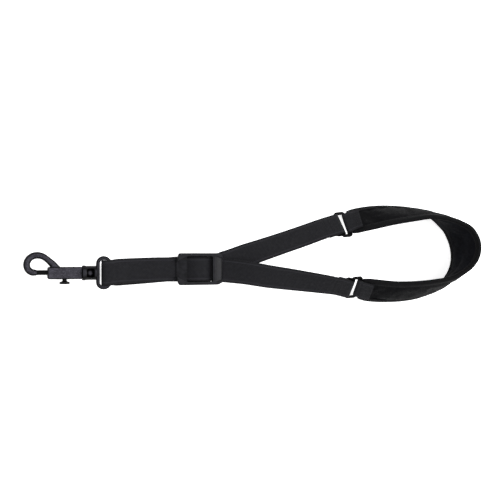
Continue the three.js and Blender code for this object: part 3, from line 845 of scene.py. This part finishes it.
def swollen():
    """How far the pad's faces swell and crease, from a cloth simulation of its closed skin."""
    vertices, held = [], []
    for i, here in enumerate(pad):
        for face in (OUT, IN):
            for across in SKIN_SHARES * face * (here.width / 2 - TUCK):
                if abs(across) > here.width / 2 - BINDING_WIDE - 0.5 or fill(i) == 0:
                    held.append(len(vertices))
                vertices.append(here.at(across, face * face_height(i, across, face)))
    skin = make_piece("skin", vertices, capped(len(pad), 2 * len(SKIN_SHARES)))
    skin.vertex_groups.new(name="held").add(held, 1, "REPLACE")
    cloth = skin.modifiers.new("cushion", "CLOTH").settings
    cloth.vertex_group_mass = "held"
    cloth.quality = SKIN_QUALITY
    cloth.mass = SKIN_MASS
    cloth.use_pressure = True
    cloth.uniform_pressure_force = SKIN_PRESSURE
    cloth.shrink_min = SKIN_SHRINK
    cloth.effector_weights.gravity = 0
    for step in range(1, SWELL_FRAMES + 1):
        bpy.context.scene.frame_set(step)
    after = skin.evaluated_get(bpy.context.evaluated_depsgraph_get()).data
    moved = np.array([v.co for v in after.vertices]) / MM - np.array(vertices)
    bpy.context.scene.frame_set(1)
    bpy.data.objects.remove(skin)
    moved = moved.reshape(len(pad), 2, len(SKIN_SHARES), 3)
    normals = np.array([s.normal for s in pad])[:, None, :]
    rises = {OUT: (moved[:, 0] * normals).sum(2), IN: -(moved[:, 1, ::-1] * normals).sum(2)}
    return {face: SWELL_CAP * np.tanh(rise / SWELL_CAP) for face, rise in rises.items()}


SWELL = swollen()


def spread(half, count):
    """Places across the pad, closer together towards its edges."""
    return half * np.sin(np.linspace(-math.pi / 2, math.pi / 2, count + 1))


def sheet_outline(index, face):
    across = spread(pad[index].width / 2 - TUCK, 28)
    outer = [(a, face * face_height(index, a, face)) for a in across]
    inner = [(a, n - face * SHEET_THICK) for a, n in outer[::-1]]
    return outer + inner


def pad_sheet(name, face, material, node):
    obj = loft(name, pad, [sheet_outline(i, face) for i in range(len(pad))])
    return finish_piece(obj, material, "strap", [node])


def core_outline(index):
    across = spread(pad[index].width / 2 - 2 * TUCK, 22)
    inside = SHEET_THICK + 0.08
    top = [(a, face_height(index, a, OUT) - inside) for a in across]
    low = [(a, inside - face_height(index, a, IN)) for a in across[::-1]]
    return top[1:-1] + low[1:-1]


pad_sheet("cover", OUT, COVER, "pad_cover")
pad_sheet("lining", IN, LINING, "pad_lining")
core_range = range(CORE_ENDS, len(pad) - CORE_ENDS)
core = loft("cushion_core", [pad[i] for i in core_range], [core_outline(i) for i in core_range])
finish_piece(core, FOAM, "strap", ["pad_foam"])


def binding_outline(index, side):
    """Tape folded over the pad's edge, with a lip on each face."""
    here = pad[index]
    half, top = here.width / 2, here.thick / 2
    depths = np.array([0, 0.12, 0.4, 0.8, 1.5, 2.4, 3.6, 4.8, 5.6, 5.9])
    pucker = PUCKER * math.sin(2 * math.pi * PAD_REACH[index] / PUCKER_PITCH)
    outer = [(half - d, top * edge_height(d) + pucker * min(1, d / 3)) for d in depths]
    lip = [(half - BINDING_WIDE, top - BINDING_THICK * share) for share in (0.3, 0.8)]
    inner = [(half - max(d, BINDING_THICK), max(top * edge_height(d) - BINDING_THICK, 0))
             for d in (5.7, 4.6, 3.2, 2.0, 1.2, BINDING_THICK + 0.1)]
    upper = outer + lip + inner
    lower = [(a, -n) for a, n in upper[:0:-1]]
    return [(side * a, n) for a, n in upper + lower]


def binding(name, side, node):
    obj = loft(name, pad, [binding_outline(i, side) for i in range(len(pad))])
    return finish_piece(obj, BINDING, "strap", [node])


binding("binding_bottom_edge", -1, "pad_binding_bottom")
binding("binding_top_edge", 1, "pad_binding_top")


def hem(name, part, leaf=5.0, tape=0.24, nose=0.6):
    """Tape folded over an end of the pad, under its tab."""
    rows = [s for s, d in zip(part, distances(part)) if d <= leaf][::2]
    away = unit(rows[0].place - rows[1].place)
    vertices, cloth = [], []
    for share in np.linspace(-1, 1, HEM_ROWS):
        layers = []
        for under in (0, tape):
            points = []
            for face in (OUT, IN):
                side = []
                for here in rows[::-1]:
                    across = share * (here.width / 2 + 0.1)
                    depth = here.width / 2 - abs(across)
                    out = here.thick / 2 * edge_height(depth) + tape - under
                    side.append(here.at(across, face * out))
                points.append(side)
            tip = [points[0][-1] + (points[1][-1] - points[0][-1]) * (1 - math.cos(angle)) / 2
                   + (nose - under) * math.sin(angle) * away
                   for angle in np.linspace(0, math.pi, 8)[1:-1]]
            layers.append(points[0] + tip + points[1][::-1])
        outline = layers[0] + layers[1][::-1]
        vertices += outline
        cloth += [(k, share * part[0].width / 2, 0) for k in range(len(outline))]
    obj = make_piece(name, vertices, capped(HEM_ROWS, len(outline)), cloth)
    return finish_piece(obj, BINDING, "strap")


hem("hem_upper_end", pad)
hem("hem_lower_end", pad[::-1])


def lip_lines():
    """Stitch lines along both lips of both bindings."""
    lines = []
    for edge in (-1, 1):
        for face in (-1, 1):
            line = []
            for here in pad[3:-3]:
                across = edge * (here.width / 2 - BINDING_WIDE + LIP_STITCH)
                out = face * here.thick / 2 * edge_height(BINDING_WIDE - LIP_STITCH)
                line.append((here.at(across, out), face * here.normal))
            lines.append(line)
    return lines


finish_piece(stitches("binding_stitches", lip_lines()), THREAD, "strap")


def tab_rows(leg, places):
    """Stitch lines across and along a tab on the pad's outer face."""
    reach = distances(leg)
    half = WEB_WIDTH / 2 - STITCH_INSET
    top = WEB_THICK / 2
    lines = [row_across(nearest(leg, reach, wanted), top) for wanted in places]
    for side in (-1, 1):
        lines.append([(s.at(side * half, top), s.normal)
                      for s, d in zip(leg, reach) if places[0] <= d <= places[-1]])
    return lines


def tab_leg(part):
    """The stretch of a tab that lies on the pad's outer face."""
    return [s._replace(place=s.at(0, tab_height(s)))
            for s, d in zip(part, distances(part)) if d < TAB_OUTER]


tab_lines = tab_rows(tab_leg(pad), TAB_ROWS) + tab_rows(tab_leg(pad[::-1]), TAB_ROWS)
finish_piece(stitches("tab_stitches", tab_lines), THREAD, "strap")


# ---------------------------------------------------------------- moulded parts

MOULD_VOXEL = 0.22


def mould(name, parts, cuts, rounds, keep=0.4):
    """One moulded body: parts joined, cuts taken away, and every edge softened."""
    base = parts[0]
    for operation, others in (("UNION", parts[1:]), ("DIFFERENCE", cuts)):
        for other in others:
            modifier = base.modifiers.new("shape", "BOOLEAN")
            modifier.operation, modifier.solver, modifier.object = operation, "EXACT", other
    remesh = base.modifiers.new("skin", "REMESH")
    remesh.mode, remesh.voxel_size = "VOXEL", MOULD_VOXEL * MM
    soften = base.modifiers.new("soften", "SMOOTH")
    soften.factor, soften.iterations = 0.5, rounds
    thin = base.modifiers.new("thin", "DECIMATE")
    thin.ratio = keep
    graph = bpy.context.evaluated_depsgraph_get()
    mesh = bpy.data.meshes.new_from_object(base.evaluated_get(graph))
    mesh.name = name
    mesh.materials.clear()
    mesh.shade_smooth()
    for used in [*parts, *cuts]:
        bpy.data.objects.remove(used)
    obj = bpy.data.objects.new(name, mesh)
    bpy.context.scene.collection.objects.link(obj)
    return obj


def prism(outline, z0, z1, soft=0.0):
    """An outline raised from z0 to z1, its rims chamfered by soft."""
    outline = np.array(outline, float)
    if soft:
        ahead, behind = np.roll(outline, -1, 0), np.roll(outline, 1, 0)
        inward = np.array([unit(np.array([b[1] - a[1], a[0] - b[0]]))
                           for a, b in zip(ahead, behind)])
        inner = outline + soft * inward
        levels = [(inner, z0), (outline, z0 + soft), (outline, z1 - soft), (inner, z1)]
    else:
        levels = [(outline, z0), (outline, z1)]
    vertices = [(x, y, z) for points, z in levels for x, y in points]
    return make_piece("blank", vertices, capped(len(levels), len(outline)))


def block(x0, x1, y0, y1, z0, z1):
    return prism([(x0, y0), (x1, y0), (x1, y1), (x0, y1)], z0, z1)


def plate(x0, x1, y0, y1, z0, z1, corner, soft=0.0):
    outline = rounded_rectangle((x1 - x0) / 2, (y1 - y0) / 2, corner)
    return prism([(x + (x0 + x1) / 2, y + (y0 + y1) / 2) for x, y in outline], z0, z1, soft)


def lathe(profile, axis="x", at=(0, 0, 0), sides=48):
    """A turned solid: profile lists (position along the axis, radius)."""
    vertices = []
    for position, radius in profile:
        for angle in np.arange(sides) * 2 * math.pi / sides:
            c, s = radius * math.cos(angle), radius * math.sin(angle)
            point = {"x": (position, c, s), "y": (c, position, s), "z": (c, s, position)}[axis]
            vertices.append(np.add(point, at))
    return make_piece("blank", vertices, capped(len(profile), sides))


def rod(radius, start, end, axis="x", at=(0, 0, 0)):
    return lathe([(start, radius), (end, radius)], axis, at)


def hollow(stations, top=14.0):
    """A cutter above a sloping floor; stations list (x, height of the floor, half its width)."""
    vertices = [point for x, z, half in stations
                for point in ((x, -half, z), (x, half, z), (x, half, top), (x, -half, top))]
    return make_piece("blank", vertices, capped(len(stations), 4))


# Plan of the slider, one side; the end towards the hook is cut to a wide point.
SLIDER_CORNERS = [(25.0, 12.6), (24.3, 14.3), (21.0, 16.2), (19.6, 16.5), (-20.6, 16.5),
                  (-21.9, 16.0), (-22.8, 14.6), (-25.0, 7.4)]
# The end bars slope: along the slider, height, half the width of the slope.
SLOPE_TO_HOOK = [(-26.5, 4.95, 6.6), (-15.0, 7.85, 12.7), (-13.0, 8.5, 13.4)]
SLOPE_TO_PAD = [(15.6, 8.4, 13.4), (16.6, 8.15, 13.2), (18.4, 7.95, 12.8), (20.4, 7.5, 12.4),
                (22.4, 6.9, 12.0), (23.8, 6.3, 11.6), (24.8, 5.6, 11.2), (26.5, 4.0, 10.6)]


def slider():
    window, inside = SLIDER_WINDOW / 2, SLIDER_INSIDE / 2
    plan = SLIDER_CORNERS + [(x, -y) for x, y in SLIDER_CORNERS[::-1]]
    parts = [prism(plan, SLIDER_UNDER, SLIDER_TOP, 0.8)]
    for side in (-1, 1):
        y0, y1 = sorted((side * inside, side * (SLIDER_WIDTH / 2 - 0.1)))
        parts.append(block(*SLIDER_LEGS, y0, y1, 0, SLIDER_TOP - 1.2))
        y0, y1 = sorted((side * (inside - SLIDER_LEDGE), side * (inside + 1)))
        parts.append(block(-window - 1, window, y0, y1, 0, 0.7))
    parts.append(block(-CENTRE_BAR / 2, CENTRE_BAR / 2, -inside - 1, inside + 1, 0,
                       CENTRE_BAR_TOP))
    opening = plate(-window, window, -inside, inside, CENTRE_BAR_TOP + 0.2, SLIDER_TOP + 2, 1.2)
    obj = mould("slider_body", parts, [opening, hollow(SLOPE_TO_HOOK), hollow(SLOPE_TO_PAD)],
                4)
    obj.data.transform(Matrix.Translation(Vector(SLIDER_PLACE) * MM))
    return finish_piece(obj, SLIDER_PLASTIC, "slider", ["slider_frame"])


slider()


# ---------------------------------------------------------------- swivel hook

HOOK_MATRIX = (Matrix.Translation(Vector(HOOK_ORIGIN) * MM)
               @ Matrix.Rotation(-math.radians(HOOK_TILT), 4, "Y"))


def strap_loop():
    half = LOOP_INSIDE / 2
    outer = plate(6.3, LOOP_BACK, -LOOP_HALF, LOOP_HALF, -LOOP_BAR, LOOP_BAR, 7.2, 1.1)
    barrel = lathe([(-7.4, 7.1), (-7.1, 7.45), (-4.3, 7.45), (-3.8, 6.9), (6.2, 6.9), (7, 6.3)])
    crossbar = rod(LOOP_BAR, -half - 0.4, half + 0.4, "y", (LOOP_BACK - LOOP_BAR, 0, 0))
    slot = plate(9.8, LOOP_BACK + 9, -half, half, -5, 5, 3.2)
    window = plate(-3.2, 4.3, -4.5, 4.5, 0, 9, 1.6)
    under = plate(-2.2, 2.2, -2.2, 2.2, -9, 1, 0.8)
    neck = rod(STEM_RADIUS + 0.4, -9, 0)
    chamber = rod(BALL_RADIUS + 0.7, -4.9, 4.2)
    shell = mould("shell", [outer, barrel], [slot, neck, chamber, window, under], 4, 1.0)
    obj = mould("loop_with_barrel", [shell, crossbar], [], 1)
    obj.data.transform(HOOK_MATRIX)
    return finish_piece(obj, LOOP_PLASTIC, "swivel_loop", ["strap_loop"])


strap_loop()

# Middle line of the eye: along, sideways, half of its width.
EYE_LINE = [(-50.9, 0.6, 2.75), (-52.4, 0.6, 3.0), (-55.6, 1.0, 3.3), (-59, 3.6, 3.3),
            (-60.4, 8.5, 3.3), (-58.8, 13.2, 3.3), (-55.2, 16.4, 3.3), (-50.6, 17.5, 3.3),
            (-45.3, 16.5, 3.15), (-40.2, 12.9, 3.1), (-35.6, 8.6, 3.5), (-31.4, 3.4, 4.0)]
EYE_THICK = 6.6


def eye():
    line = np.array(EYE_LINE)
    rows = smooth(np.column_stack([line[:, :2], np.zeros(len(line)), line[:, 2]]), 6)
    vertices = []
    sides = 24
    for row, along in zip(rows, directions(rows[:, :3])):
        across = np.cross(UP, along)
        for angle in np.arange(sides) * 2 * math.pi / sides:
            c, s = math.cos(angle), math.sin(angle)
            wide = row[3] * c
            high = EYE_THICK / 2 * math.copysign(abs(s) ** 0.9, s)
            vertices.append(row[:3] + wide * across + high * UP)
    return make_piece("blank", vertices, capped(len(rows), sides))


def hook_body():
    housing = plate(-40.8, -7.7, -6, 6, -4.5, 4.5, 1.9, 1.0)
    stem = rod(STEM_RADIUS, -9, 0)
    ball = lathe([(BALL_RADIUS * math.sin(a), max(0.01, BALL_RADIUS * math.cos(a)))
                  for a in np.linspace(-math.pi / 2, math.pi / 2, 17)])
    bore = rod(2.5, -55.6, -9.8, at=(0, BOLT_SIDE, 0))
    slot = block(-26.6, -14, -12, BOLT_SIDE, -2.3, 2.3)
    heel = plate(-14, -7.7, -6, 6, -4.5, 4.5, 0.8, 0.4)
    obj = mould("hook_housing", [housing, heel, eye(), stem, ball], [bore, slot], 4)
    obj.data.transform(HOOK_MATRIX)
    return finish_piece(obj, HOOK_PLASTIC, "hook", ["hook_body"])


hook_body()


def hook_piece(obj, name, material, body, node):
    obj.name = obj.data.name = name
    obj.data.transform(HOOK_MATRIX)
    return finish_piece(obj, material, body, [node])


bolt = lathe([(-55.3, 1.6), (-55.1, 2.1), (-54.6, 2.38), (-22.2, 2.38), (-21.8, 2.1)],
             at=(0, BOLT_SIDE, 0))
hook_piece(bolt, "bolt_rod", PIN_PLASTIC, "gate", "gate_bolt")
knob = lathe([(-10.9, 4.4), (-10.75, 4.8), (-10.4, 5.0), (-9.2, 5.0), (-8.75, 4.6), (-8.4, 3.4),
              (-8.0, 2.5), (-7.4, 2.1), (-2.2, 2.1), (-2.2, 1.2), (1.3, 1.2)], "y", (-24.3, 0, 0))
hook_piece(knob, "knob_turned", KNOB_PLASTIC, "gate", "thumb_knob")

turns = np.linspace(0, 1, 241)
angles = SPRING_TURNS * 2 * math.pi * turns
helix = np.column_stack([SPRING_START + (SPRING_END - SPRING_START) * turns,
                         BOLT_SIDE + SPRING_RADIUS * np.cos(angles),
                         SPRING_RADIUS * np.sin(angles)])
spring = make_piece("spring_coil", *tube(helix, SPRING_WIRE), sharp=80)
hook_piece(spring, "spring_coil", STEEL, "hook", "gate_spring")
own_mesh(spring)


# ---------------------------------------------------------------- table, lights, camera

def table_look():
    """A pale shooting table that is lit from below, so that hardly a shadow shows."""
    look = Look("table", 0.6, 0.2, Emission_Strength=0.66)
    look.shader.inputs["Emission Color"].default_value = (1, 1, 1, 1)
    look.colour(look.blend(look.noise(60, 2.0), (0.86, 0.86, 0.86, 1), (0.9, 0.9, 0.9, 1)))
    return look.material


TABLE_HALF = 3000
corners = [(x * TABLE_HALF, y * TABLE_HALF, 0) for x, y in ((-1, -1), (1, -1), (1, 1), (-1, 1))]
floor = make_piece("table", corners, [(0, 1, 2, 3)])
floor.data.materials.append(table_look())


def softbox(name, place, target, size, power):
    light = bpy.data.lights.new(name, "AREA")
    light.shape, light.size, light.energy = "SQUARE", size, power
    obj = bpy.data.objects.new(name, light)
    bpy.context.scene.collection.objects.link(obj)
    obj.location = place
    obj.rotation_euler = (Vector(target) - Vector(place)).to_track_quat("-Z", "Y").to_euler()


softbox("key", (1.4, 0.3, 1.2), (0, 0, 0), 1.6, 54)
softbox("fill", (-1.4, 0, 1.2), (0, 0, 0), 1.6, 10)

world = bpy.data.worlds.new("studio")
bpy.context.scene.world = world
world.use_nodes = True
background = world.node_tree.nodes["Background"].inputs
background["Color"].default_value = (1, 1, 1, 1)
background["Strength"].default_value = 1.0
bpy.context.scene.view_settings.view_transform = "Standard"

CAMERA_TILT = math.radians(70)      # above the table, seen from the hook's side
CAMERA_DISTANCE = 0.9277            # metres
CAMERA_AIM = Vector((-8.5, 3.7, 0)) * MM
CAMERA_LENS = 62.78                 # millimetres, so that it sees 32 degrees
camera_data = bpy.data.cameras.new("camera")
camera_data.lens, camera_data.sensor_width = CAMERA_LENS, 36
camera = bpy.data.objects.new("camera", camera_data)
bpy.context.scene.collection.objects.link(camera)
back = Vector((-math.cos(CAMERA_TILT), 0, math.sin(CAMERA_TILT)))
right = Vector((math.sin(CAMERA_TILT), 0, math.cos(CAMERA_TILT)))
above = Vector((0, 1, 0))
camera.matrix_world = (Matrix.Translation(CAMERA_AIM + back * CAMERA_DISTANCE)
                       @ Matrix((right, above, back)).transposed().to_4x4())
bpy.context.scene.camera = camera
